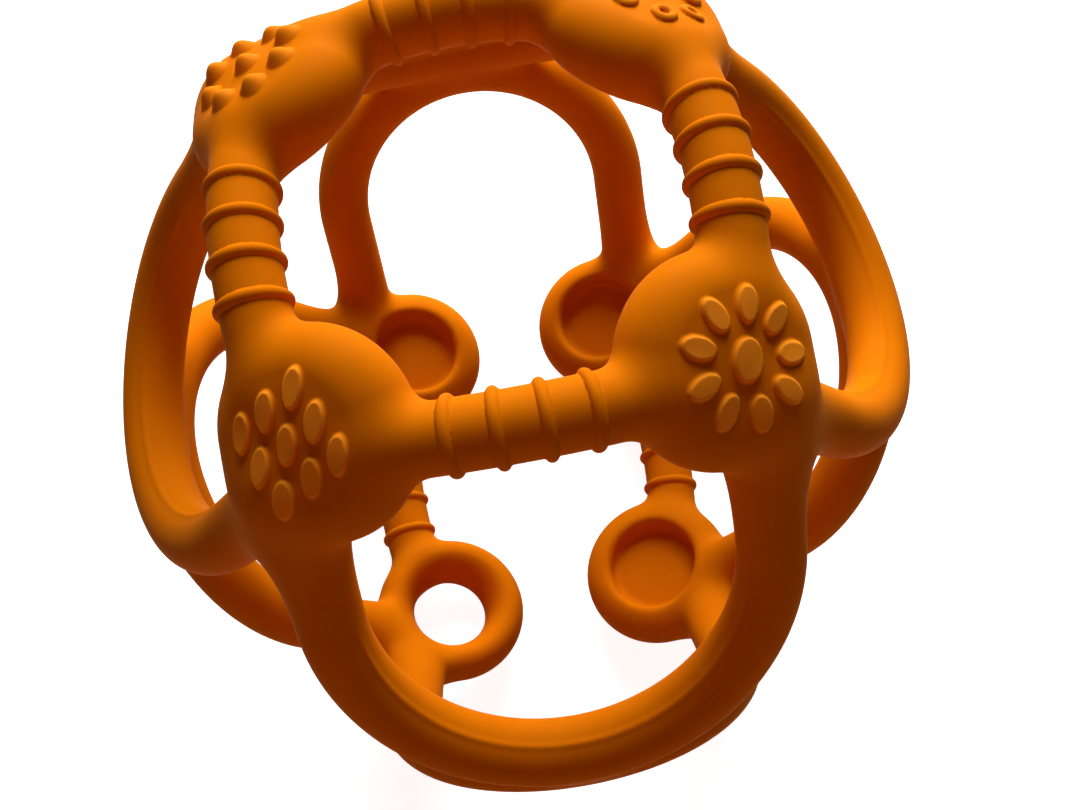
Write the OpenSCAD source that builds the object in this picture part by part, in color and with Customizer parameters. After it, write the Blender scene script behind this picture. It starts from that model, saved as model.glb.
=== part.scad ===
// Teething ball, one soft silicone moulding shown as the pieces it is made of.
// Eight round discs sit at the corners of the ball. Ribbed bars join them into an
// upper ring and a lower ring. Smooth arcs join the rings, and each upper arc meets
// a lower arc at the middle of one side.
// Sizes are in millimetres. The origin is the middle of the ball and +Z is up.
// Near is -Y, far is +Y, left is -X and right is +X.

/* [Arcs] */
// Reach of the left and right arcs from the middle of the ball
side_reach = 47; // [44:0.5:51]
// Reach of the near and far arcs from the middle of the ball
end_reach = 50; // [46:0.5:54]
// Thickness of an arc
arc_d = 7.6; // [6.6:0.1:8.4]
// Height of an arc's middle over the plane where it meets its twin
arc_rise = 2.2; // [1.4:0.1:2.8]
// How far along the ring, past the middle of an upper disc, a near or far arc enters it
upper_end_spread = 4; // [3:0.1:4.6]
// How far along the ring, past the middle of an upper disc, a left or right arc enters it
upper_side_spread = 2.6; // [1.8:0.1:3.4]
// How far along the ring, past the middle of a lower disc, a near or far arc enters it
lower_end_spread = 5.6; // [4.6:0.1:6.4]
// How far along the ring, past the middle of a lower disc, a left or right arc enters it
lower_side_spread = 2.2; // [1.4:0.1:3]
// How far outside the middle of a lower disc its arcs stand on it
lower_foot = 6.2; // [5.2:0.1:7]

/* [Upper ring] */
// Half the spacing of the upper discs
upper_half = 19.9; // [18.5:0.1:21.5]
// Height of the middle of the upper discs
upper_height = 36.9; // [34:0.1:40]

/* [Lower ring] */
// Half the spacing of the lower discs, left to right
lower_half_x = 16.1; // [15.5:0.1:18]
// Half the spacing of the lower discs, near to far
lower_half_y = 21.4; // [20:0.1:23]
// Depth of the middle of the lower discs
lower_depth = 38.1; // [34:0.1:40]
// Lean of the lower discs to the left and right, in degrees
lower_lean_x = 14.6; // [8:0.2:23]
// Lean of the lower discs to the near and far side, in degrees
lower_lean_y = 7.1; // [0:0.1:20]

/* [Discs] */
// Diameter of a disc
disc_d = 22.2; // [20.6:0.2:23]
// Thickness of a disc's rounded rim
disc_rim = 8.4; // [7.6:0.1:9]
// Height of the dome on a disc's outer face
disc_dome = 1.2; // [0.8:0.1:1.6]
// Diameter of the dish in a disc's inner face
dish_d = 13; // [11:0.5:14]
// Depth of the dish
dish_depth = 3; // [2:0.1:3.6]
// Diameter of the hole through the loop disc
hole_d = 10.4; // [8:0.2:11]
// Diameter of the step round the hole on the inner face
hole_step_d = 14.6; // [13:0.2:15]

/* [Bars] */
// Thickness of a bar
bar_d = 7.3; // [6.4:0.1:7.8]
// How far a rib stands out of its bar
rib_proud = 0.45; // [0.3:0.05:0.7]
// Roundness of a rib
rib_r = 0.6; // [0.5:0.05:0.9]
// Number of ribs on a bar
rib_count = 4; // [3:1:5]
// Plain length between a bar's end and its first rib
bar_end = 1.2; // [1:0.1:1.6]
// Gap between a disc's edge and a bar's end
bar_neck = 0.9; // [0.7:0.1:1.4]
// How far the middle of an upper bar bows out from its ends
upper_bow = 4.9; // [4:0.1:6]
// Slope of that bow, in degrees
upper_bow_slope = 59; // [45:1:70]
// How far the middle of a lower bar bows out from its ends
lower_bow = 3.5; // [2.8:0.1:4.4]
// Slope of that bow, in degrees
lower_bow_slope = 20; // [10:1:40]
// How far outside a disc's middle a bar enters it
bar_out = 2.0; // [1:0.1:3]

/* [Textures] */
// How far a knob stands out of its disc
knob_proud = 0.9; // [0.7:0.1:1.2]
// Diameter of a knob
knob_d = 2.6; // [2.2:0.1:3]
// Number of knobs round the middle one
knob_count = 8; // [6:1:9]
// Distance of the knobs from the middle one
knob_ring = 5.4; // [4.6:0.1:5.8]
// How far an oval stands out of its disc
oval_proud = 0.7; // [0.5:0.1:1]
// Width of an oval
oval_w = 2.5; // [2.2:0.1:2.7]
// Length of an oval
oval_l = 4.4; // [3.6:0.1:4.6]
// Half diagonal of the square that the ovals fill
oval_diag = 5.4; // [5.1:0.1:5.5]
// Width of a petal
petal_w = 2.3; // [1.9:0.1:2.5]
// Length of a petal
petal_l = 3.8; // [3:0.1:4]
// Number of petals
petal_count = 9; // [7:1:9]
// Distance of the petals from the middle of the flower
petal_ring = 5.4; // [5.2:0.1:5.5]
// Width of the oval in the middle of the flower
heart_w = 3.4; // [2.6:0.1:3.6]
// Length of the oval in the middle of the flower
heart_l = 4.6; // [3.8:0.1:5]
// Thickness of a small ring's wall
ring_wall = 1.1; // [0.9:0.05:1.2]
// Outer diameter of a small ring
ring_d = 3.1; // [2.8:0.1:3.3]
// Number of small rings round the middle one
ring_count = 7; // [6:1:7]
// Distance of the small rings from the middle one
ring_ring = 4.8; // [4.5:0.1:5.4]

/* [Hidden] */
$fn = 64;

// Sides of the ball as turns about Z
RIGHT = 0;
FAR = 90;
LEFT = 180;
NEAR = 270;

// Middle of each ring's first disc
UP = [upper_half, upper_half, upper_height];
DOWN = [lower_half_x, lower_half_y, lower_depth];

// Lengths that follow from the sizes above
disc_r = disc_d / 2;
rim_r = disc_rim / 2;
rim_at = disc_r - rim_r;
dome_top = rim_r + disc_dome;
dome_r = (rim_at * rim_at + dome_top * dome_top - rim_r * rim_r) / (2 * disc_dome);
dome_edge = dome_r * rim_at / (dome_r - rim_r);
neck_in = 5.5;
bar_start = disc_r + bar_neck;
bar_in = 5;
beyond = 60;
silicone = [0.86, 0.43, 0.05];

// Place of the discs on a side, outward first and then along it
function seat(ring, side) = side % 180 == 0 ? [ring[0], ring[1]] : [ring[1], ring[0]];
function reach(side) = side % 180 == 0 ? side_reach : end_reach;

// Plane and bend of an arc
function arc_foot(ring, side) = seat(ring, side)[0] + (ring == UP ? 0 : lower_foot);
function arc_run(ring, side) = reach(side) - arc_foot(ring, side);
function arc_climb(ring) = ring[2] - arc_rise;
function arc_lean(ring, side) = atan2(arc_climb(ring), arc_run(ring, side));
function arc_span(ring, side) = norm([arc_run(ring, side), arc_climb(ring)]);
function end_spread(ring) = ring == UP ? upper_end_spread : lower_end_spread;
function side_spread(ring) = ring == UP ? upper_side_spread : lower_side_spread;
function arc_spread(ring, side) = side % 180 == 0 ? side_spread(ring) : end_spread(ring);
function arc_bend(ring, side) = seat(ring, side)[1] + arc_spread(ring, side);
function arc_start(ring, side) = arc_span(ring, side) - arc_bend(ring, side);

// Plane and bend of a bar
function bow(ring) = ring == UP ? upper_bow : lower_bow;
function bow_slope(ring) = ring == UP ? upper_bow_slope : lower_bow_slope;
function bar_half(ring, side) = seat(ring, side)[1];
function bar_bend(ring, side) = (pow(bar_half(ring, side), 2) + pow(bow(ring), 2)) / (2 * bow(ring));
function bar_angle(ring, side, short) =
    asin((bar_half(ring, side) - short) / bar_bend(ring, side));

// The frame of an arc, with the line between its discs along Y and its middle toward +X
module arc_frame(ring, side) {
    rotate([0, 0, side])
        translate([arc_foot(ring, side), 0, ring[2]])
            rotate([0, arc_lean(ring, side), 0])
                children();
}

// A straight neck that leads from a disc into one of the two ends of an arc
module arc_neck(ring, side, end) {
    inside = ring == UP ? neck_in : 0;
    arc_frame(ring, side)
        translate([inside, end * arc_bend(ring, side), 0])
            rotate([0, 90, 0])
                rotate_extrude()
                    intersection() {
                        union() {
                            circle(d = arc_d);
                            square([arc_d / 2, arc_start(ring, side) - inside]);
                        }
                        translate([0, -arc_d])
                            square([arc_d, beyond]);
                    }
}

// The frame of a bar, with the middle of its bend at the origin
module bar_frame(ring, side) {
    rotate([0, 0, side])
        translate([seat(ring, side)[0] + bar_out, 0, ring[2]])
            rotate([0, -bow_slope(ring), 0])
                translate([bow(ring) - bar_bend(ring, side), 0, 0])
                    children();
}

// A length of a bar's tube between two turns from its middle
module bar_tube(ring, side, from, to) {
    bar_frame(ring, side)
        rotate([0, 0, from])
            rotate_extrude(angle = to - from)
                translate([bar_bend(ring, side), 0])
                    circle(d = bar_d);
}

// A ribbed bar between two discs
module bar(ring, side) {
    end_turn = bar_angle(ring, side, bar_start);
    rib_turn = end_turn - bar_end / bar_bend(ring, side) * 180 / PI;
    color(silicone)
    union() {
        bar_tube(ring, side, -end_turn, end_turn);
        bar_frame(ring, side)
            for (k = [0 : rib_count - 1])
                rotate([0, 0, rib_turn * (2 * k / (rib_count - 1) - 1)])
                    translate([bar_bend(ring, side), 0, 0])
                        rotate([90, 0, 0])
                            rotate_extrude()
                                translate([bar_d / 2 + rib_proud - rib_r, 0])
                                    circle(r = rib_r);
    }
}

// A smooth arc, half a ring that is cut flat where it meets its twin
module arc(ring, side) {
    color(silicone)
    difference() {
        arc_frame(ring, side)
            translate([arc_start(ring, side), 0, 0])
                rotate([0, 0, -90])
                    rotate_extrude(angle = 180)
                        translate([arc_bend(ring, side), 0])
                            circle(d = arc_d);
        translate([-beyond, -beyond, -beyond])
            cube([2 * beyond, 2 * beyond, beyond]);
    }
}

// The way a ring's first disc faces: upper discs straight out of the ball, lower ones more downward
function aim(ring) = ring == UP ? ring : [tan(lower_lean_x), tan(lower_lean_y), 1];

// The frame of a disc, with its outer face upward
module disc_frame(ring, corner) {
    x = corner == 0 || corner == 3 ? 1 : -1;
    y = corner < 2 ? 1 : -1;
    translate([x * ring[0], y * ring[1], ring[2]])
        rotate([0, acos(aim(ring)[2] / norm(aim(ring))), atan2(y * aim(ring)[1], x * aim(ring)[0])])
            children();
}

// Half section of a disc
module disc_profile() {
    intersection() {
        translate([0, dome_top - dome_r])
            circle(r = dome_r);
        square([dome_edge, disc_rim]);
    }
    translate([0, -rim_r])
        square([rim_at, disc_rim]);
    translate([rim_at, 0])
        circle(r = rim_r);
}

// The necks that run out of a disc to its arcs and bars
module necks(ring, corner) {
    first = 90 * corner;
    second = (90 * corner + 90) % 360;
    arc_neck(ring, first, 1);
    arc_neck(ring, second, -1);
    if (ring == UP || first % 180 == 0)
        bar_tube(ring, first, bar_angle(ring, first, bar_start), bar_angle(ring, first, bar_in));
    if (ring == UP || second % 180 == 0)
        bar_tube(ring, second, -bar_angle(ring, second, bar_in), -bar_angle(ring, second, bar_start));
}

// A disc with its necks, its texture and the dish in its inner face
module disc(ring, corner, turn, hole = false) {
    color(silicone)
    difference() {
        union() {
            disc_frame(ring, corner)
                rotate_extrude()
                    disc_profile();
            necks(ring, corner);
            disc_frame(ring, corner)
                rotate([0, 0, turn])
                    children();
        }
        disc_frame(ring, corner)
            translate([0, 0, -rim_r - beyond])
                cylinder(d = hole ? hole_step_d : dish_d, h = beyond + dish_depth);
        if (hole)
            disc_frame(ring, corner)
                translate([0, 0, -disc_rim])
                    cylinder(d = hole_d, h = 3 * disc_rim);
    }
}

// A place on the dome of a disc, standing straight out of it
module on_dome(distance, turn) {
    translate([0, 0, dome_top - dome_r])
        rotate([0, asin(distance / dome_r), turn])
            translate([0, 0, dome_r])
                children();
}

// A long bump lying along X, sunk so that it stands out by the given height
module long_bump(width, length, proud) {
    translate([0, 0, proud - width / 2])
        rotate([0, 90, 0])
            rotate_extrude()
                intersection() {
                    union() {
                        translate([0, (length - width) / 2])
                            circle(d = width);
                        translate([0, (width - length) / 2])
                            circle(d = width);
                        translate([0, (width - length) / 2])
                            square([width / 2, length - width]);
                    }
                    translate([0, -length])
                        square([width, 2 * length]);
                }
}

// Nine ovals in a square that stands on its corner
module ovals() {
    for (i = [-1 : 1])
        for (j = [-1 : 1]) {
            x = (i + j) * oval_diag / 2;
            y = (i - j) * oval_diag / 2;
            on_dome(norm([x, y]), atan2(y, x))
                rotate([0, 0, -atan2(y, x)])
                    long_bump(oval_w, oval_l, oval_proud);
        }
}

// A flower of petals round a larger oval
module flower() {
    for (k = [0 : petal_count - 1])
        on_dome(petal_ring, 360 / petal_count * k)
            long_bump(petal_w, petal_l, oval_proud);
    on_dome(0, 0)
        long_bump(heart_w, heart_l, oval_proud);
}

// Round knobs
module knobs() {
    for (k = [0 : knob_count])
        on_dome(k == knob_count ? 0 : knob_ring, 360 / knob_count * k)
            translate([0, 0, knob_proud - knob_d / 2])
                sphere(d = knob_d);
}

// Small rings, each half sunk in the dome
module small_rings() {
    for (k = [0 : ring_count])
        on_dome(k == ring_count ? 0 : ring_ring, 360 / ring_count * k)
            rotate_extrude()
                translate([(ring_d - ring_wall) / 2, 0])
                    circle(d = ring_wall);
}

module disc_ovals() { disc(UP, 2, 201.5) ovals(); }
module disc_flower() { disc(UP, 3, 128.5) flower(); }
module disc_knobs() { disc(UP, 1, -119.5) knobs(); }
module disc_rings() { disc(UP, 0, 172.5) small_rings(); }
module lower_disc_far_left() { mirror([0, 0, 1]) disc(DOWN, 1, 0) flower(); }
module lower_disc_far_right() { mirror([0, 0, 1]) disc(DOWN, 0, 0) ovals(); }
module lower_disc_loop() { mirror([0, 0, 1]) disc(DOWN, 2, 0, true); }
module lower_disc_near_right() { mirror([0, 0, 1]) disc(DOWN, 3, 0) knobs(); }
module upper_bar_near() { bar(UP, NEAR); }
module upper_bar_far() { bar(UP, FAR); }
module upper_bar_left() { bar(UP, LEFT); }
module upper_bar_right() { bar(UP, RIGHT); }
module lower_bar_left() { mirror([0, 0, 1]) bar(DOWN, LEFT); }
module lower_bar_right() { mirror([0, 0, 1]) bar(DOWN, RIGHT); }
module upper_arc_near() { arc(UP, NEAR); }
module upper_arc_far() { arc(UP, FAR); }
module upper_arc_left() { arc(UP, LEFT); }
module upper_arc_right() { arc(UP, RIGHT); }
module lower_arc_near() { mirror([0, 0, 1]) arc(DOWN, NEAR); }
module lower_arc_far() { mirror([0, 0, 1]) arc(DOWN, FAR); }
module lower_arc_left() { mirror([0, 0, 1]) arc(DOWN, LEFT); }
module lower_arc_right() { mirror([0, 0, 1]) arc(DOWN, RIGHT); }

disc_ovals();
disc_flower();
disc_knobs();
disc_rings();
upper_bar_near();
upper_bar_far();
upper_bar_left();
upper_bar_right();
lower_disc_far_left();
lower_disc_far_right();
lower_disc_loop();
lower_disc_near_right();
lower_bar_left();
lower_bar_right();
upper_arc_near();
upper_arc_far();
upper_arc_left();
upper_arc_right();
lower_arc_near();
lower_arc_far();
lower_arc_left();
lower_arc_right();
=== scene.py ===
# %% [markdown]
# # An open teething ball in soft orange silicone
# The real ball is one soft moulding. Eight round discs sit at its corners, short ribbed bars join
# them into an upper and a lower ring, and smooth arcs join the two rings.
# Everything is one material, so the likeness is in the shape: each bar and arc flows into its disc
# with a soft fillet, and the discs have raised patterns to chew on.
# The imported solids are loaded first, because every piece here stands for one of them, and the discs
# and bars ride on the same two bodies.

# %% Load the solids
import math

import bmesh
import bpy
import numpy as np
import openvdb
from mathutils import Matrix, Vector


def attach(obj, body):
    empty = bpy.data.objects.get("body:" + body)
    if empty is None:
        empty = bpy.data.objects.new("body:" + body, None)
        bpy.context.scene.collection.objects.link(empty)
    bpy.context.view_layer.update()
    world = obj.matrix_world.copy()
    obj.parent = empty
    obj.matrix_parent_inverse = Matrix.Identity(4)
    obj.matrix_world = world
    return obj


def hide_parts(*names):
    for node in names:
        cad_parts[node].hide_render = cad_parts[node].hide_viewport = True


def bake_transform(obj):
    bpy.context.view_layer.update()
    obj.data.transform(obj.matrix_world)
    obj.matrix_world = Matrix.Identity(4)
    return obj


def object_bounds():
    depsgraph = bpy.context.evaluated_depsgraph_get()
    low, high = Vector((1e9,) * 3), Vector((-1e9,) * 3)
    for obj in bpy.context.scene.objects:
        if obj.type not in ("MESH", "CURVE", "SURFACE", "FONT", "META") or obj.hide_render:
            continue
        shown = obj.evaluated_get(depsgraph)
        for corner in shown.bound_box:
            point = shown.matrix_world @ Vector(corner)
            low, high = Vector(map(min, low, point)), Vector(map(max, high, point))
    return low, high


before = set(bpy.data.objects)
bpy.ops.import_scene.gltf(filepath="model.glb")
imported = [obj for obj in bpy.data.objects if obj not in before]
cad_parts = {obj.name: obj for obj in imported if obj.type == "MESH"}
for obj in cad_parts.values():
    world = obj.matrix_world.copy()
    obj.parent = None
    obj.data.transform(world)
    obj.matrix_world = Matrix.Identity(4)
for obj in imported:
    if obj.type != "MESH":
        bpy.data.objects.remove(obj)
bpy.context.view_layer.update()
MM = 0.001

# %% [markdown]
# ## Camera
# The photograph looks steeply down into the ball from its near side, a little rolled, from about a
# hand's length away. A camera can be placed by eye, but here the discs give eight points whose places
# are known, so the distance, the angle and the lens were worked out from them.
# The frame is 36 mm wide on the sensor, and there is no lens shift.

# %% Direction of view
CAMERA_AZIMUTH = math.radians(-91.9)
CAMERA_ELEVATION = math.radians(68.0)
CAMERA_ROLL = math.radians(-8.7)

view_back = Vector((
    math.cos(CAMERA_ELEVATION) * math.cos(CAMERA_AZIMUTH),
    math.cos(CAMERA_ELEVATION) * math.sin(CAMERA_AZIMUTH),
    math.sin(CAMERA_ELEVATION),
))
level_right = Vector((0, 0, 1)).cross(view_back).normalized()
level_up = view_back.cross(level_right)
view_right = math.cos(CAMERA_ROLL) * level_right + math.sin(CAMERA_ROLL) * level_up
view_up = view_back.cross(view_right)
print("seen from", [round(v, 2) for v in view_back])

# %% Place the camera
LENS = 42.3
SENSOR_WIDTH = 36.0
NEAREST_SEEN = 10.0 * MM
CAMERA_DISTANCE = 167.0 * MM
CAMERA_AIM = Vector((2.6, -5.4, -2.1)) * MM

camera_data = bpy.data.cameras.new("camera")
camera_data.lens = LENS
camera_data.sensor_width = SENSOR_WIDTH
camera_data.clip_start = NEAREST_SEEN
camera = bpy.data.objects.new("camera", camera_data)
turned = Matrix((view_right, view_up, view_back)).transposed().to_4x4()
camera.matrix_world = Matrix.Translation(CAMERA_AIM + CAMERA_DISTANCE * view_back) @ turned
bpy.context.scene.collection.objects.link(camera)
bpy.context.scene.camera = camera
print("camera at", [round(v / MM, 1) for v in camera.matrix_world.translation], "mm")

# %% [markdown]
# ## The skeleton of the ball
# A bar or an arc is a round limb whose middle line is part of a circle, and an arc goes on straight at
# both ends. In a mesh editor such a limb would be a swept tube, and the tubes would then have to be
# stitched to the discs by hand.
# Here each limb is kept as a formula instead: how far a point is from its skin. Formulas of that kind
# can be welded with a fillet of any width, which is just what a mould does to soft silicone.
# All shape sizes are in millimetres, and follow the solids' own. Pairs with False and True hold the
# upper ring's value and the lower ring's.

# %% Sizes of rings, arcs and bars
SIDE_REACH = 47.0
END_REACH = 50.0
ARC_RADIUS = 3.8
ARC_RISE = 2.2
UPPER_RING = (19.9, 19.9, 36.9)
LOWER_RING = (16.1, 21.4, 38.1)
DISC_RADIUS = 11.1
BAR_RADIUS = 3.65
BAR_OUT = 2.0
UPPER_BOW = (4.9, math.radians(59))
LOWER_BOW = (3.5, math.radians(20))
END_SPREAD = {False: 4.0, True: 5.6}
SIDE_SPREAD = {False: 2.6, True: 2.2}
ARC_FOOT = {False: 0.0, True: 6.2}
ARC_ROOT = {False: 5.5, True: 0.0}
BAR_NECK = 0.9
BAR_STARTS = DISC_RADIUS + BAR_NECK
BAR_ROOT = 5.0
SIDES = {"right": 0, "far": 90, "left": 180, "near": 270}
print("disc middles at", UPPER_RING, "and below at", LOWER_RING, "mm")

# %% A limb that follows part of a circle
class Limb:
    """A round limb. Its circle ends at the root's turn from its middle, and a straight leg follows.
    Its cut is the turn where it meets the piece of a disc."""

    def __init__(self, name, side, down, middle, lean, bend, cut, root, leg, radius):
        turn = math.radians(side)
        up = np.array([0.0, 0.0, -1.0 if down else 1.0])
        out = np.array([math.cos(turn), math.sin(turn), 0.0])
        along = np.array([-math.sin(turn), math.cos(turn), 0.0])
        outward = out * math.cos(lean) + up * math.sin(lean)
        across = up * math.cos(lean) - out * math.sin(lean)
        self.name = name
        self.down = down
        self.axes = np.stack([outward, along, across], axis=1).astype(np.float32)
        self.centre = (out * middle[0] + up * middle[1] - outward * bend).astype(np.float32)
        self.bend = bend
        self.cut = cut
        self.root = root
        self.leg = leg
        self.radius = radius

    def local(self, points):
        """Points seen from the circle's middle: outward, along the ball's side, and across."""
        return ((points - self.centre) @ self.axes).T

    def distance(self, points):
        """Distance of points from the limb's skin, less than nothing inside it."""
        x, y, z = self.local(points)
        y = np.abs(y)
        on_bend = np.hypot(np.hypot(x, y) - self.bend, z)
        onward = y * math.cos(self.root) - x * math.sin(self.root)
        aside = x * math.cos(self.root) + y * math.sin(self.root) - self.bend
        past = np.maximum(onward - self.leg, 0.0)
        on_leg = np.sqrt(aside * aside + z * z + past * past)
        return np.where(onward < 0, on_bend, on_leg) - self.radius

    def before_cut(self, points):
        """How far points are from the nearer cut, on the limb's own side of it."""
        x, y, z = self.local(points)
        return x * math.sin(self.cut) - np.abs(y) * math.cos(self.cut)


# %% Lay out the arcs and the bars
def seat(ring, side):
    """How far out a ring's discs are on a side of the ball, and how far apart along it."""
    return (ring[0], ring[1]) if side % 180 == 0 else (ring[1], ring[0])


def make_arc(name, ring, side, down):
    """An arc that leans from a ring's two discs out to the ball's widest place on that side."""
    at_side = side % 180 == 0
    reach = SIDE_REACH if at_side else END_REACH
    run = reach - seat(ring, side)[0] - ARC_FOOT[down]
    climb = ring[2] - ARC_RISE
    bend = seat(ring, side)[1] + (SIDE_SPREAD if at_side else END_SPREAD)[down]
    leg = math.hypot(run, climb) - bend - ARC_ROOT[down]
    lean = -math.atan2(climb, run)
    middle = (reach, ARC_RISE)
    return Limb(name, side, down, middle, lean, bend, math.pi / 2, math.pi / 2, leg, ARC_RADIUS)


def make_bar(name, ring, side, down):
    """A bar that bows out a little between a ring's two discs on a side."""
    half = seat(ring, side)[1]
    bow, slope = LOWER_BOW if down else UPPER_BOW
    bend = (half ** 2 + bow ** 2) / (2 * bow)
    cut = math.asin((half - BAR_STARTS) / bend)
    root = math.asin((half - BAR_ROOT) / bend)
    out = seat(ring, side)[0] + BAR_OUT + bow * math.cos(slope)
    up = ring[2] + bow * math.sin(slope)
    return Limb(name, side, down, (out, up), slope, bend, cut, root, 0.0, BAR_RADIUS)


arcs = [make_arc(f"upper_arc_{s}", UPPER_RING, SIDES[s], False) for s in SIDES]
arcs += [make_arc(f"lower_arc_{s}", LOWER_RING, SIDES[s], True) for s in SIDES]
bars = [make_bar(f"upper_bar_{s}", UPPER_RING, SIDES[s], False) for s in SIDES]
bars += [make_bar(f"lower_bar_{s}", LOWER_RING, SIDES[s], True) for s in ("right", "left")]
print("limbs:", len(arcs), "arcs and", len(bars), "bars; arc bends",
      sorted({round(a.bend, 1) for a in arcs}), "mm")

# %% [markdown]
# ## The raised patterns
# All discs but the one with a hole carry raised shapes that massage the gums: ovals, petals round a
# larger oval, knobs, or small rings. They could be separate meshes pushed into the disc, but on the real
# ball they are part of the same skin, with a soft foot.
# So each pattern is a height over the disc's face, which is added to the skin later on.

# %% One soft oval
PATTERN_PROUD = 0.4
PATTERN_EDGE = 0.5
LEAST_RATIO = 0.1


def cushion(inside):
    """Height of a flat-topped bump with soft edges, from how far inside its outline a point is."""
    share = np.clip(inside / PATTERN_EDGE, 0.0, 1.0)
    return PATTERN_PROUD * share * share * (3.0 - 2.0 * share)


def oval(u, v, size, turn=0.0):
    """Height of an oval of a given length and width. Its long side is turned from the u direction."""
    half_length, half_width = size[0] / 2, size[1] / 2
    along = (u * math.cos(turn) + v * math.sin(turn)) / half_length
    across = (v * math.cos(turn) - u * math.sin(turn)) / half_width
    ratio = np.hypot(along, across)
    growth = np.hypot(along / half_length, across / half_width) / np.maximum(ratio, LEAST_RATIO)
    return cushion((1.0 - ratio) / np.maximum(growth, LEAST_RATIO))


print("an oval stands", PATTERN_PROUD, "mm proud")

# %% Ovals in a square, and a flower
OVAL_SIZE = (4.6, 2.7)
OVAL_DIAGONAL = 5.5
PETAL_SIZE = (4.2, 2.8)
PETAL_RING = 5.4
PETAL_COUNT = 9
HEART_SIZE = (4.9, 3.9)


def round_places(count, radius):
    """Places on a circle, each with its turn."""
    turns = [2 * math.pi * k / count for k in range(count)]
    return [(radius * math.cos(t), radius * math.sin(t), t) for t in turns]


def ovals(u, v):
    """Nine ovals in a square that stands on its corner."""
    height = np.zeros_like(u)
    for i in (-1, 0, 1):
        for j in (-1, 0, 1):
            x = (i + j) * OVAL_DIAGONAL / 2
            y = (i - j) * OVAL_DIAGONAL / 2
            height = np.maximum(height, oval(u - x, v - y, OVAL_SIZE))
    return height


def flower(u, v):
    """Petals round a larger oval."""
    height = oval(u, v, HEART_SIZE)
    for x, y, turn in round_places(PETAL_COUNT, PETAL_RING):
        height = np.maximum(height, oval(u - x, v - y, PETAL_SIZE, turn))
    return height


print("petals:", PETAL_COUNT)

# %% Knobs and small rings
KNOB_PROUD = 1.0
KNOB_RADIUS = 1.8
KNOB_FALL = 1.5
KNOB_RING = 5.4
KNOB_COUNT = 8
RING_RADIUS = 1.0
RING_WALL = 0.55
RING_PROUD = 0.48
RING_RING = 5.1
RING_COUNT = 7
MIDDLE_PLACE = (0.0, 0.0, 0.0)


def knobs(u, v):
    """Round knobs in a circle, and one in its middle."""
    height = np.zeros_like(u)
    for x, y, turn in round_places(KNOB_COUNT, KNOB_RING) + [MIDDLE_PLACE]:
        off = ((u - x) ** 2 + (v - y) ** 2) / KNOB_RADIUS ** 2
        height = np.maximum(height, KNOB_PROUD * np.maximum(1.0 - off, 0.0) ** KNOB_FALL)
    return height


def small_rings(u, v):
    """Small raised rings in a circle, and one in its middle."""
    height = np.zeros_like(u)
    for x, y, turn in round_places(RING_COUNT, RING_RING) + [MIDDLE_PLACE]:
        off = (np.hypot(u - x, v - y) - RING_RADIUS) / RING_WALL
        height = np.maximum(height, RING_PROUD * np.sqrt(np.maximum(1.0 - off * off, 0.0)))
    return height


def plain(u, v):
    """No pattern."""
    return np.zeros_like(u)


print("knobs:", KNOB_COUNT + 1, "small rings:", RING_COUNT + 1)

# %% [markdown]
# ## The discs
# A disc is a flat round cushion with a fully rounded rim and a slightly domed outer face. Its inner
# face has a shallow round dish, and one lower disc has a hole right through it for a strap, which
# opens like a funnel.
# The dish and the hole are carved out of the formula with a rounded edge, as a mould would leave it.

# %% Weld and carve
def weld(a, b, softness):
    """Joins two skins with a fillet about as wide as the softness."""
    near = np.maximum(softness - np.abs(a - b), 0.0)
    return np.minimum(a, b) - near * near / (4.0 * softness)


def carve(a, b, softness):
    """Takes the second shape out of the first and rounds the edge between them."""
    return -weld(-a, b, softness)


print("two skins that meet weld", -weld(0.0, 0.0, 1.0), "mm proud for each mm of softness")

# %% A disc with its pattern
RIM_RADIUS = 4.2
DOME = 1.2
DISH_RADIUS = 6.5
DISH_DEPTH = 3.0
DISH_SOFT = 1.4
DISH_CORNER = 1.2
HOLE_RADIUS = 5.2
MOUTH_RADIUS = 7.3
MOUTH_SOFT = 3.2
DISC_ROOM = 13.0
LOWER_AIM = (math.tan(math.radians(14.6)), math.tan(math.radians(7.1)), 1.0)
BALL_CORNERS = {"far_right": (1, 1), "far_left": (-1, 1), "near_left": (-1, -1), "near_right": (1, -1)}


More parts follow.
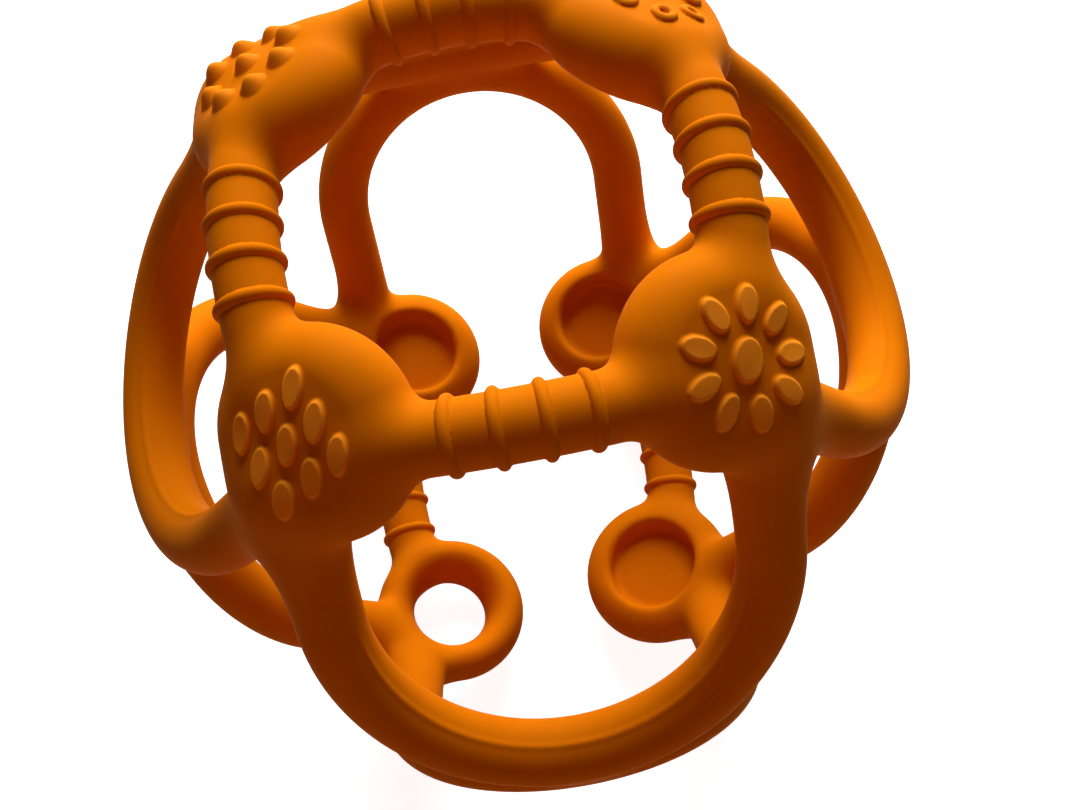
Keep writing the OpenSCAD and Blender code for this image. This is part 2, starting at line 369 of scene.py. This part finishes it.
class Disc:
    """A disc at one corner of the ball, with its outer face away from the ball's middle."""

    def __init__(self, name, ring, corner, down, pattern, turn, hole=False):
        x = ring[0] * BALL_CORNERS[corner][0]
        y = ring[1] * BALL_CORNERS[corner][1]
        aim = LOWER_AIM if down else ring
        outward = np.array([math.copysign(aim[0], x), math.copysign(aim[1], y), aim[2]])
        outward = outward / np.linalg.norm(outward)
        across = np.array([-outward[1], outward[0], 0.0]) / math.hypot(outward[0], outward[1])
        first = np.cross(across, outward)
        turn = math.radians(turn)
        u = first * math.cos(turn) + across * math.sin(turn)
        v = across * math.cos(turn) - first * math.sin(turn)
        flip = np.array([1.0, 1.0, -1.0 if down else 1.0])
        self.name = name
        self.pattern = pattern
        self.hole = hole
        self.centre = (np.array([x, y, ring[2]]) * flip).astype(np.float32)
        self.axes = np.stack([u * flip, v * flip, outward * flip], axis=1).astype(np.float32)

    def local(self, points):
        """Points seen from the disc's middle: two directions in its face, and outward."""
        return ((points - self.centre) @ self.axes).T

    def distance(self, points):
        """Distance of points from the plain cushion's skin."""
        u, v, z = self.local(points)
        off = np.hypot(u, v)
        flat = DISC_RADIUS - RIM_RADIUS
        swell = DOME * np.maximum(1.0 - (off / DISC_RADIUS) ** 2, 0.0) ** 2
        z = np.where(z > 0, z * RIM_RADIUS / (RIM_RADIUS + swell), z)
        return np.hypot(np.maximum(off - flat, 0.0), z) - RIM_RADIUS

    def carved(self, points, skin):
        """The skin's distances after the dish, or the hole and its mouth, are taken out."""
        u, v, z = self.local(points)
        off = np.hypot(u, v)
        depth = z + RIM_RADIUS
        room = -DISC_ROOM - z
        if not self.hole:
            dish = -weld(DISH_RADIUS - off, DISH_DEPTH - depth, DISH_CORNER)
            return carve(skin, np.maximum(dish, room), DISH_SOFT)
        narrows = (MOUTH_RADIUS - HOLE_RADIUS) / DISH_DEPTH
        funnel = (off - MOUTH_RADIUS + narrows * depth) / math.hypot(1.0, narrows)
        mouth = np.maximum(np.maximum(funnel, off - MOUTH_RADIUS), room)
        through = np.maximum(off - HOLE_RADIUS, np.abs(z) - DISC_ROOM)
        return carve(carve(skin, mouth, MOUTH_SOFT), through, MOUTH_SOFT)

    def raised(self, points):
        """How far the pattern lifts the outer face."""
        u, v, z = self.local(points)
        return np.where((z > 0) & (np.hypot(u, v) < DISC_RADIUS), self.pattern(u, v), 0.0)


print("disc:", 2 * DISC_RADIUS, "mm across,", 2 * RIM_RADIUS + DOME, "mm thick")

# %% The eight discs
discs = [
    Disc("disc_ovals", UPPER_RING, "near_left", False, ovals, 201.5),
    Disc("disc_flower", UPPER_RING, "near_right", False, flower, 128.5),
    Disc("disc_knobs", UPPER_RING, "far_left", False, knobs, -119.5),
    Disc("disc_rings", UPPER_RING, "far_right", False, small_rings, 172.5),
    Disc("lower_disc_far_left", LOWER_RING, "far_left", True, flower, 0),
    Disc("lower_disc_far_right", LOWER_RING, "far_right", True, ovals, 0),
    Disc("lower_disc_loop", LOWER_RING, "near_left", True, plain, 0, hole=True),
    Disc("lower_disc_near_right", LOWER_RING, "near_right", True, knobs, 0),
]
print("discs:", [disc.name for disc in discs])

# %% [markdown]
# ## Ribs and the mould's parting line
# Four ribs run round each bar like thin half-round beads. Along each arc the two halves of the mould
# left a fine raised line, which is one of the small signs that tell a moulded toy from a drawn one.
# Both are thin lifts of the skin, so they are added after all fillets and are never buried by them.

# %% Ribs of a bar
RIB_PROUD = 0.5
RIB_RADIUS = 0.65
RIB_COUNT = 4
RIB_MARGIN = 1.2
RIB_NEAR = 1.5


def off_ribs(bar, points):
    """How far points are, along a bar, from the middle of its nearest rib."""
    x, y, z = bar.local(points)
    run = np.arctan2(y, x) * bar.bend
    reach = bar.cut * bar.bend - RIB_MARGIN
    places = [reach * (2 * k / (RIB_COUNT - 1) - 1) for k in range(RIB_COUNT)]
    return np.min([np.abs(run - place) for place in places], axis=0)


def ribs(bar, points, gap):
    """Height of a bar's ribs at points whose distance from the bar's plain skin is the gap."""
    off = off_ribs(bar, points)
    bead = np.sqrt(np.maximum(RIB_RADIUS ** 2 - off * off, 0.0)) - (RIB_RADIUS - RIB_PROUD)
    return np.where(np.abs(gap) < RIB_NEAR, np.maximum(bead, 0.0), 0.0)


print("ribs on each bar:", RIB_COUNT)

# %% Parting line of an arc
SEAM_PROUD = 0.16
SEAM_WIDTH = 0.42
SEAM_TURN = math.radians(50)
SEAM_FADES = (math.radians(78), math.radians(92))
SEAM_NEAR = 1.0


def seam(arc, points, gap):
    """Height of the parting line, which fades out towards the arc's necks."""
    x, y, z = arc.local(points)
    turn = np.abs(np.arctan2(y, x))
    around = np.arctan2(-(np.hypot(x, y) - arc.bend), z) - SEAM_TURN
    off = (np.mod(around + math.pi, 2 * math.pi) - math.pi) * arc.radius
    fade = np.clip((SEAM_FADES[1] - turn) / (SEAM_FADES[1] - SEAM_FADES[0]), 0.0, 1.0)
    height = SEAM_PROUD * fade * np.exp(-(off / SEAM_WIDTH) ** 2)
    return np.where(np.abs(gap) < SEAM_NEAR, height, 0.0)


print("parting line:", SEAM_PROUD, "mm high")

# %% [markdown]
# ## The skin of the whole ball
# Now the formulas come together: arcs that share a disc run into one broad web, arcs weld softly to
# their twins, discs weld to the arcs and bars, and the dishes, ribs, lines and patterns follow.
# The function looks only at the limbs and discs near the points it is given, which keeps it quick.

# %% Weld everything into one skin
NECK_WELD = 8.0
ARC_WELD = 2.0
DISC_WELD = 2.4
BAR_WELD = 2.2
FAR_AWAY = 9.0


def near_block(shape, middle, half):
    """Whether a limb or disc comes near a block of points with this middle and half size."""
    return shape.distance(middle[None, :])[0] < half + FAR_AWAY


def skin(points):
    """Distance of a block of points from the ball's skin, in mm, and how far patterns lift it there."""
    middle = (points.min(axis=0) + points.max(axis=0)) / 2
    half = float(np.linalg.norm(points.max(axis=0) - middle))
    some_arcs = [a for a in arcs if near_block(a, middle, half)]
    some_bars = [b for b in bars if near_block(b, middle, half)]
    some_discs = [d for d in discs if near_block(d, middle, half)]
    found = np.full(len(points), FAR_AWAY, np.float32)
    lift = np.zeros(len(points), np.float32)
    gaps = {}
    for down in (False, True):
        ring = np.full(len(points), FAR_AWAY, np.float32)
        for arc in some_arcs:
            if arc.down == down:
                gaps[arc.name] = arc.distance(points)
                ring = weld(ring, gaps[arc.name], NECK_WELD)
        found = weld(found, ring, ARC_WELD)
    for disc in some_discs:
        found = weld(found, disc.distance(points), DISC_WELD)
    for bar in some_bars:
        gaps[bar.name] = bar.distance(points)
        found = weld(found, gaps[bar.name], BAR_WELD)
    for disc in some_discs:
        found = disc.carved(points, found)
    for arc in some_arcs:
        found = found - seam(arc, points, gaps[arc.name])
    for bar in some_bars:
        found = found - ribs(bar, points, gaps[bar.name])
    for disc in some_discs:
        lift = np.maximum(lift, disc.raised(points))
    return (found - lift).astype(np.float32), lift


arc_core = arcs[0].centre + arcs[0].bend * arcs[0].axes[:, 0]
print("an arc's core is", round(-float(skin(arc_core[None, :])[0][0]), 2), "mm under the skin")

# %% [markdown]
# ## From formula to mesh
# A volume grid holds the distances, and the volume library wraps it in quads. Such a mesh is a little
# wavy, so every point is then moved onto the exact skin, and keeps the skin's own direction there as
# its normal. The grid is filled in tiles, and tiles far from the ball are left empty.
# Raised patterns and ribs are finer than the rest, so the quads under them are split once more.

# %% Fill the volume grid
PITCH = 0.36
TILE_CELLS = 32
LIMITS = np.array([54.0, 57.0, 49.0])

counts = np.ceil(2 * LIMITS / PITCH).astype(int) + 1
grid = np.full(counts, FAR_AWAY, np.float32)
lines = [np.arange(n, dtype=np.float32) * PITCH - lim for n, lim in zip(counts, LIMITS)]


def tile_starts(count):
    return range(0, count, TILE_CELLS)


for i in tile_starts(counts[0]):
    for j in tile_starts(counts[1]):
        for k in tile_starts(counts[2]):
            cells = (slice(i, i + TILE_CELLS), slice(j, j + TILE_CELLS), slice(k, k + TILE_CELLS))
            axes = [line[cell] for line, cell in zip(lines, cells)]
            block = np.stack(np.meshgrid(*axes, indexing="ij"), axis=-1)
            grid[cells] = skin(block.reshape(-1, 3))[0].reshape(block.shape[:3])
print("grid", counts.tolist(), "cells of", PITCH, "mm")

# %% Wrap the skin in quads
volume = openvdb.FloatGrid(FAR_AWAY)
volume.copyFromArray(grid)
points, quads = volume.convertToQuads(0.0)
points = points.astype(np.float32) * PITCH - LIMITS.astype(np.float32)
print("skin:", len(points), "points and", len(quads), "quads")

# %% Read a mesh back as arrays
def read_mesh(mesh):
    """Points of a mesh, the corners, first corner and size of each face, and the faces' middles."""
    places = np.empty(len(mesh.vertices) * 3, np.float32)
    mesh.vertices.foreach_get("co", places)
    places = places.reshape(-1, 3)
    corners = np.empty(len(mesh.loops), np.int32)
    mesh.loops.foreach_get("vertex_index", corners)
    starts = np.empty(len(mesh.polygons), np.int32)
    sizes = np.empty(len(mesh.polygons), np.int32)
    mesh.polygons.foreach_get("loop_start", starts)
    mesh.polygons.foreach_get("loop_total", sizes)
    middles = np.add.reduceat(places[corners], starts, axis=0) / sizes[:, None]
    return places, corners, starts, sizes, middles


whole = bpy.data.meshes.new("whole")
whole.from_pydata(points.tolist(), [], quads.tolist())
print("faces:", len(read_mesh(whole)[4]))

# %% Split the quads under the patterns and the ribs
PATTERN_ROOM = 8.4
RIB_ROOM = (1.1, 1.3)


def detailed(places):
    """Whether points lie under a raised pattern or along a rib."""
    under = np.zeros(len(places), bool)
    for disc in discs:
        u, v, z = disc.local(places)
        if disc.pattern is not plain:
            under |= (z > 0) & (z < 2 * RIM_RADIUS) & (np.hypot(u, v) < PATTERN_ROOM)
    for bar in bars:
        under |= (off_ribs(bar, places) < RIB_ROOM[0]) & (np.abs(bar.distance(places)) < RIB_ROOM[1])
    return under


finer = bmesh.new()
finer.from_mesh(whole)
finer.faces.ensure_lookup_table()
chosen = np.nonzero(detailed(points[quads].mean(axis=1)))[0]
edges = {edge for i in chosen for edge in finer.faces[i].edges}
bmesh.ops.subdivide_edges(finer, edges=list(edges), cuts=1, use_grid_fill=True)
finer.to_mesh(whole)
finer.free()
points = read_mesh(whole)[0]
print("split", len(chosen), "quads; now", len(points), "points")

# %% Measure the skin at any points
TILE = 12.0
TILE_SHIFT = 50
TILE_KEY = np.array([10000, 100, 1])
STEP = 0.04
CORNERS = np.array([[1, -1, -1], [-1, -1, 1], [-1, 1, -1], [1, 1, 1]], np.float32)


def tiles(places):
    """Indices of the points in each tile of space."""
    key = (np.floor(places / TILE).astype(int) + TILE_SHIFT) @ TILE_KEY
    order = np.argsort(key, kind="stable")
    return np.split(order, np.nonzero(np.diff(key[order]))[0] + 1)


def slope(places):
    """Direction in which the distance grows at each point of a block, from four points close by."""
    return sum(c * skin(places + STEP * c)[0][:, None] for c in CORNERS) / (4 * STEP)


def measure(places):
    """Distance, lift and slope at all points."""
    gap = np.empty(len(places), np.float32)
    lift = np.empty(len(places), np.float32)
    rise = np.empty((len(places), 3), np.float32)
    for block in tiles(places):
        gap[block], lift[block] = skin(places[block])
        rise[block] = slope(places[block])
    return gap, lift, rise


print("tiles:", len(tiles(points)))

# %% Move every point onto the exact skin
ROUNDS = 2
LONGEST_MOVE = 0.5 * PITCH
LEAST_SLOPE = 0.25

for count in range(ROUNDS):
    gap, lift, rise = measure(points)
    steep = np.maximum((rise * rise).sum(axis=1), LEAST_SLOPE)
    move = -np.clip(gap / steep, -LONGEST_MOVE, LONGEST_MOVE)
    points = points + move[:, None] * rise
whole.vertices.foreach_set("co", points.astype(np.float32).ravel())
print("points lie within", round(float(np.percentile(np.abs(gap), 99)), 3), "mm of the skin")

# %% [markdown]
# ## Cut the ball into its pieces
# The solids are separate pieces that meet at flat joints: an arc ends at its neck, a bar at its
# shoulder, and an upper arc meets a lower arc at the middle of the ball. The mesh is cut along those
# same flats, so each piece stands exactly for one solid.
# A flat is only cut where it crosses its own limb. Each piece is then closed with a flat cap.

# %% Find the limb that each face belongs to
limbs = arcs + bars


def owners(places):
    """Nearest limb to each point."""
    best = np.full(len(places), np.inf, np.float32)
    owner = np.zeros(len(places), int)
    for index, limb in enumerate(limbs):
        gap = limb.distance(places)
        closer = gap < best
        best[closer] = gap[closer]
        owner[closer] = index
    return owner


middles = read_mesh(whole)[4]
owner = owners(middles)
print("faces nearest to an arc:", int((owner < len(arcs)).sum()))

# %% Cut the mesh along the joints
CUT_ROOM = 1.2
CUT_SNAP = 1e-4


def cut_faces(mesh, chosen, place, normal):
    """Cuts the chosen faces of a mesh along a flat."""
    faces = [mesh.faces[i] for i in np.nonzero(chosen)[0]]
    edges = {e for f in faces for e in f.edges}
    verts = {v for f in faces for v in f.verts}
    bmesh.ops.bisect_plane(mesh, geom=faces + list(edges) + list(verts), dist=CUT_SNAP,
                           plane_co=place, plane_no=normal)
    mesh.faces.ensure_lookup_table()


cutting = bmesh.new()
cutting.from_mesh(whole)
cutting.faces.ensure_lookup_table()
cuts = []
for index, limb in enumerate(limbs):
    x, y, z = limb.local(middles)
    at_cut = (owner == index) & (np.abs(limb.before_cut(middles)) < CUT_ROOM)
    for end in (-1, 1):
        along = -math.sin(limb.cut) * limb.axes[:, 0] + end * math.cos(limb.cut) * limb.axes[:, 1]
        cuts.append((at_cut & (y * end > 0), limb.centre, along))
at_middle = (owner < len(arcs)) & (np.abs(middles[:, 2]) < CUT_ROOM)
cuts.append((at_middle, (0, 0, 0), (0, 0, 1)))
for chosen, place, normal in cuts:
    cut_faces(cutting, chosen, place, normal)
cutting.to_mesh(whole)
cutting.free()
print("cuts:", len(cuts), "faces after cutting:", len(whole.polygons))

# %% Read the cut mesh and its normals
SHORTEST = 1e-6

places, corner_verts, face_starts, face_sizes, middles = read_mesh(whole)
gap, lift, rise = measure(places)
normals = rise / np.maximum(np.linalg.norm(rise, axis=1, keepdims=True), SHORTEST)
print("raised points:", int((lift > 0).sum()), "of", len(places))

# %% Sort the faces into pieces
owner = owners(middles)
names = np.empty(len(middles), object)
nearest = np.argmin(np.stack([np.linalg.norm(middles - d.centre, axis=1) for d in discs]), axis=0)
for index, disc in enumerate(discs):
    names[nearest == index] = disc.name
for index, limb in enumerate(limbs):
    mine = (owner == index) & (limb.before_cut(middles) > 0)
    names[mine] = limb.name
for side in SIDES:
    upper, lower = f"upper_arc_{side}", f"lower_arc_{side}"
    on_side = np.isin(names.astype(str), [upper, lower])
    names[on_side & (middles[:, 2] > 0)] = upper
    names[on_side & (middles[:, 2] < 0)] = lower
for name in sorted(set(names)):
    print(name, int((names == name).sum()), "faces")

# %% Find the open ends of a piece
def open_loops(faces):
    """Rings of points round a piece's open ends, each in the direction that closes it."""
    edges = {}
    for face in faces:
        for a, b in zip(face, np.roll(face, -1)):
            edges[(a, b)] = True
    onward = {b: a for a, b in edges if (b, a) not in edges}
    rings = []
    while onward:
        start, ring = next(iter(onward)), []
        while start in onward:
            ring.append(start)
            start = onward.pop(start)
        rings.append(ring)
    return rings


print("open ends of a lone square:", len(open_loops([[0, 1, 2, 3]])))

# %% Build one closed mesh for each piece
def build_piece(name):
    """Makes the piece that stands for a solid, and closes its cut ends with flat fans."""
    rows = np.nonzero(names == name)[0]
    faces = [corner_verts[face_starts[r]:face_starts[r] + face_sizes[r]] for r in rows]
    used = np.unique(np.concatenate(faces))
    renumber = np.zeros(len(places), np.int32)
    renumber[used] = np.arange(len(used))
    faces = [renumber[f].tolist() for f in faces]
    spots = places[used].tolist()
    aims = normals[used].tolist()
    lifts = lift[used].tolist()
    for ring in open_loops(faces):
        rim = np.array([spots[i] for i in ring])
        middle = rim.mean(axis=0)
        aim = np.cross(rim - middle, np.roll(rim, -1, axis=0) - middle).sum(axis=0)
        aim = aim / np.linalg.norm(aim)
        first = len(spots)
        spots += rim.tolist() + [middle.tolist()]
        aims += [aim.tolist()] * (len(ring) + 1)
        lifts += [0.0] * (len(ring) + 1)
        for k in range(len(ring)):
            faces.append([first + k, first + (k + 1) % len(ring), first + len(ring)])
    mesh = bpy.data.meshes.new(f"soft_{name}")
    mesh.from_pydata((np.array(spots) * MM).tolist(), [], faces)
    mesh.polygons.foreach_set("use_smooth", np.ones(len(faces), bool))
    raised = mesh.attributes.new("raised", "FLOAT", "POINT")
    raised.data.foreach_set("value", np.array(lifts, np.float32))
    mesh.normals_split_custom_set_from_vertices(aims)
    piece = bpy.data.objects.new(f"soft_{name}", mesh)
    bpy.context.scene.collection.objects.link(piece)
    return piece


pieces = {name: build_piece(name) for name in sorted(set(names))}
bpy.data.meshes.remove(whole)
print("pieces:", len(pieces), "with", sum(len(p.data.polygons) for p in pieces.values()), "faces")

# %% [markdown]
# ## Silicone
# The ball is dyed right through, with a soft matt skin that is a little dusty to the touch. Raised
# patterns look paler, the flat-topped ovals and petals more than the round knobs and rings.
# One node group gives the mottled colour, the uneven roughness and the fine skin, and each material
# places it with its own values. Object coordinates are the ball's own, so nothing breaks at a joint.
# A mix node has sockets for each kind of value under the same names, so its colours go by number.

# %% A node group for the moulded skin
MIX_FIRST = 6
MIX_SECOND = 7
MIX_RESULT = 2
MOTTLE_NOISE = {"Scale": 180, "Detail": 3}
GRAIN_NOISE = {"Scale": 2600, "Detail": 2}
GRAIN_SPREAD = {"From Min": 0.3, "From Max": 0.7, "To Min": -0.06, "To Max": 0.06}


def set_inputs(node, values):
    """Sets inputs of a node by their names."""
    for name, value in values.items():
        node.inputs[name].default_value = value


def moulded_skin():
    """Mottles a colour, varies a roughness and gives the height of a fine grain."""
    group = bpy.data.node_groups.new("moulded_skin", "ShaderNodeTree")
    face = group.interface
    for socket in ("Colour", "Deep colour"):
        face.new_socket(socket, in_out="INPUT", socket_type="NodeSocketColor")
    for socket in ("Mottle", "Roughness"):
        face.new_socket(socket, in_out="INPUT", socket_type="NodeSocketFloat")
    face.new_socket("Colour", in_out="OUTPUT", socket_type="NodeSocketColor")
    for socket in ("Roughness", "Height"):
        face.new_socket(socket, in_out="OUTPUT", socket_type="NodeSocketFloat")
    nodes, links = group.nodes, group.links
    entry = nodes.new("NodeGroupInput")
    leave = nodes.new("NodeGroupOutput")
    place = nodes.new("ShaderNodeTexCoord")

    broad = nodes.new("ShaderNodeTexNoise")
    set_inputs(broad, MOTTLE_NOISE)
    fine = nodes.new("ShaderNodeTexNoise")
    set_inputs(fine, GRAIN_NOISE)
    for noise in (broad, fine):
        links.new(place.outputs["Object"], noise.inputs["Vector"])

    amount = nodes.new("ShaderNodeMath")
    amount.operation = "MULTIPLY"
    links.new(broad.outputs["Fac"], amount.inputs[0])
    links.new(entry.outputs["Mottle"], amount.inputs[1])
    tint = nodes.new("ShaderNodeMix")
    tint.data_type = "RGBA"
    links.new(amount.outputs["Value"], tint.inputs["Factor"])
    links.new(entry.outputs["Colour"], tint.inputs[MIX_FIRST])
    links.new(entry.outputs["Deep colour"], tint.inputs[MIX_SECOND])
    links.new(tint.outputs[MIX_RESULT], leave.inputs["Colour"])

    spread = nodes.new("ShaderNodeMapRange")
    set_inputs(spread, GRAIN_SPREAD)
    links.new(fine.outputs["Fac"], spread.inputs["Value"])
    rough = nodes.new("ShaderNodeMath")
    links.new(entry.outputs["Roughness"], rough.inputs[0])
    links.new(spread.outputs["Result"], rough.inputs[1])
    links.new(rough.outputs["Value"], leave.inputs["Roughness"])
    links.new(fine.outputs["Fac"], leave.inputs["Height"])
    return group


skin_group = moulded_skin()
print("group:", skin_group.name, "with", len(skin_group.nodes), "nodes")

# %% Silicone for the limbs and for the patterned discs
SILICONE = (0.68, 0.172, 0.001, 1.0)
SILICONE_DEEP = (0.60, 0.138, 0.001, 1.0)
SILICONE_FROSTED = (0.94, 0.29, 0.015, 1.0)
SKIN_VALUES = {"Colour": SILICONE, "Deep colour": SILICONE_DEEP, "Mottle": 0.8, "Roughness": 0.58}
GRAIN_BUMP = {"Strength": 0.25, "Distance": 0.02 * MM}
SHINE = 0.005
FROST_HEIGHTS = {"From Min": 0.05, "From Max": 0.3}
FLAT_FROST = 0.95
ROUND_FROST = 0.25


def silicone(name, frost=0.0):
    """The dyed silicone. Frost is how much paler it turns where its pattern is raised."""
    material = bpy.data.materials.new(name)
    material.use_nodes = True
    nodes, links = material.node_tree.nodes, material.node_tree.links
    shader = nodes["Principled BSDF"]
    skin_node = nodes.new("ShaderNodeGroup")
    skin_node.node_tree = skin_group
    set_inputs(skin_node, SKIN_VALUES)
    colour = skin_node.outputs["Colour"]
    if frost:
        raised = nodes.new("ShaderNodeAttribute")
        raised.attribute_name = "raised"
        share = nodes.new("ShaderNodeMapRange")
        set_inputs(share, FROST_HEIGHTS)
        share.inputs["To Max"].default_value = frost
        links.new(raised.outputs["Fac"], share.inputs["Value"])
        pale = nodes.new("ShaderNodeMix")
        pale.data_type = "RGBA"
        links.new(share.outputs["Result"], pale.inputs["Factor"])
        links.new(colour, pale.inputs[MIX_FIRST])
        pale.inputs[MIX_SECOND].default_value = SILICONE_FROSTED
        colour = pale.outputs[MIX_RESULT]
    links.new(colour, shader.inputs["Base Color"])
    links.new(skin_node.outputs["Roughness"], shader.inputs["Roughness"])
    bump = nodes.new("ShaderNodeBump")
    set_inputs(bump, GRAIN_BUMP)
    links.new(skin_node.outputs["Height"], bump.inputs["Height"])
    links.new(bump.outputs["Normal"], shader.inputs["Normal"])
    shader.inputs["Specular IOR Level"].default_value = SHINE
    return material


limb_silicone = silicone("limb_silicone")
flat_silicone = silicone("flat_pattern_silicone", FLAT_FROST)
round_silicone = silicone("round_pattern_silicone", ROUND_FROST)
finishes = {disc.name: flat_silicone if disc.pattern in (ovals, flower) else round_silicone
            for disc in discs if disc.pattern is not plain}
print("materials:", limb_silicone.name, flat_silicone.name, round_silicone.name)

# %% [markdown]
# ## Pieces on their bodies
# When the ball is squeezed, the upper ring sinks towards the lower ring and the arcs give. So discs and
# bars ride on their own ring. The arcs are hung on neither ring: their place is baked into their points.

# %% Give each piece its silicone, and hang discs and bars on the ring that carries them
for name, piece in pieces.items():
    piece.data.materials.append(finishes.get(name, limb_silicone))
    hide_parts(name)
    if "_arc_" in name:
        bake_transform(piece)
    else:
        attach(piece, "bottom_ring" if name.startswith("lower") else "top_ring")
print("pieces on bodies:", len(pieces))

# %% [markdown]
# ## Floor and light
# The photograph is a plain product picture: white all round, with one tall soft window of light at the
# far side that leaves the near faces of the discs in a deep warm shade. A weak warm lamp at the near
# side stands for the light that the orange ball throws back onto itself.
# The floor and the world show white to the camera and to reflections, but light the ball only a
# little. The floor still takes the ball's shadow: its own glow is a little less than white under the
# ball, and rises to white further away, so that no edge shows against the world.

# %% Tell what the camera sees from what lights the ball
def seen_ray(nodes, links):
    """One where the ray comes from the camera, a reflection or glass, and else nothing."""
    path = nodes.new("ShaderNodeLightPath")
    first = nodes.new("ShaderNodeMath")
    first.operation = "MAXIMUM"
    second = nodes.new("ShaderNodeMath")
    second.operation = "MAXIMUM"
    links.new(path.outputs["Is Camera Ray"], first.inputs[0])
    links.new(path.outputs["Is Glossy Ray"], first.inputs[1])
    links.new(first.outputs["Value"], second.inputs[0])
    links.new(path.outputs["Is Transmission Ray"], second.inputs[1])
    return second.outputs["Value"]


print("rays that see white: camera, glossy, transmission")

# %% A white finish that keeps the shadow
FLOOR_GLOW = 0.90
FULL_GLOW = 1.0
FLOOR_FADES = (0.07, 0.30)
FLOOR_COLOUR = (0.6, 0.6, 0.6, 1.0)


def floor_material():
    """A matt floor with a glow that only seen rays meet."""
    material = bpy.data.materials.new("floor_white")
    material.use_nodes = True
    nodes, links = material.node_tree.nodes, material.node_tree.links
    nodes.clear()
    output = nodes.new("ShaderNodeOutputMaterial")
    matt = nodes.new("ShaderNodeBsdfDiffuse")
    matt.inputs["Color"].default_value = FLOOR_COLOUR
    glow = nodes.new("ShaderNodeEmission")
    place = nodes.new("ShaderNodeTexCoord")
    away = nodes.new("ShaderNodeVectorMath")
    away.operation = "LENGTH"
    ramp = nodes.new("ShaderNodeMapRange")
    ramp.interpolation_type = "SMOOTHSTEP"
    set_inputs(ramp, {"From Min": FLOOR_FADES[0], "From Max": FLOOR_FADES[1]})
    set_inputs(ramp, {"To Min": FLOOR_GLOW, "To Max": FULL_GLOW})
    share = nodes.new("ShaderNodeMath")
    share.operation = "MULTIPLY"
    both = nodes.new("ShaderNodeAddShader")
    links.new(place.outputs["Object"], away.inputs[0])
    links.new(away.outputs["Value"], ramp.inputs["Value"])
    links.new(ramp.outputs["Result"], share.inputs[1])
    links.new(seen_ray(nodes, links), share.inputs[0])
    links.new(share.outputs["Value"], glow.inputs["Strength"])
    links.new(matt.outputs["BSDF"], both.inputs[0])
    links.new(glow.outputs["Emission"], both.inputs[1])
    links.new(both.outputs["Shader"], output.inputs["Surface"])
    return material


floor_white = floor_material()
print("material:", floor_white.name)

# %% Lay the floor under the ball
FLOOR_SIDE = 3.0

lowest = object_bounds()[0][2]
floor_mesh = bpy.data.meshes.new("floor")
half = FLOOR_SIDE / 2
floor_mesh.from_pydata([(-half, -half, 0), (half, -half, 0), (half, half, 0), (-half, half, 0)],
                       [], [(0, 1, 2, 3)])
floor = bpy.data.objects.new("floor", floor_mesh)
floor.location.z = lowest
floor.data.materials.append(floor_white)
bpy.context.scene.collection.objects.link(floor)
print("floor at", round(lowest / MM, 2), "mm")

# %% A world that looks white
WORLD_FILL = 0.01
WORLD_COLOUR = (1.0, 1.0, 1.0, 1.0)

world = bpy.data.worlds.new("studio")
world.use_nodes = True
bpy.context.scene.world = world
nodes, links = world.node_tree.nodes, world.node_tree.links
background = nodes["Background"]
level = nodes.new("ShaderNodeMapRange")
set_inputs(level, {"To Min": WORLD_FILL, "To Max": FULL_GLOW})
links.new(seen_ray(nodes, links), level.inputs["Value"])
background.inputs["Color"].default_value = WORLD_COLOUR
links.new(level.outputs["Result"], background.inputs["Strength"])
bpy.context.scene.view_settings.view_transform = "Standard"
print("world:", world.name)

# %% The window and the warm lamp
LAMPS = [
    ("window", (0.11, 0.48, 0.22), (0.32, 0.56), 7.5, (1.0, 1.0, 1.0)),
    ("warm_fill", (-0.10, -0.48, 0.26), (0.40, 0.40), 0.55, (1.0, 0.42, 0.2)),
]

for name, spot, sides, watts, tint in LAMPS:
    lamp_data = bpy.data.lights.new(name, "AREA")
    lamp_data.shape = "RECTANGLE"
    lamp_data.size, lamp_data.size_y = sides
    lamp_data.energy = watts
    lamp_data.color = tint
    lamp = bpy.data.objects.new(name, lamp_data)
    lamp.location = spot
    lamp.rotation_euler = Vector(spot).to_track_quat("Z", "Y").to_euler()
    bpy.context.scene.collection.objects.link(lamp)
    print("lamp", name, watts, "W")
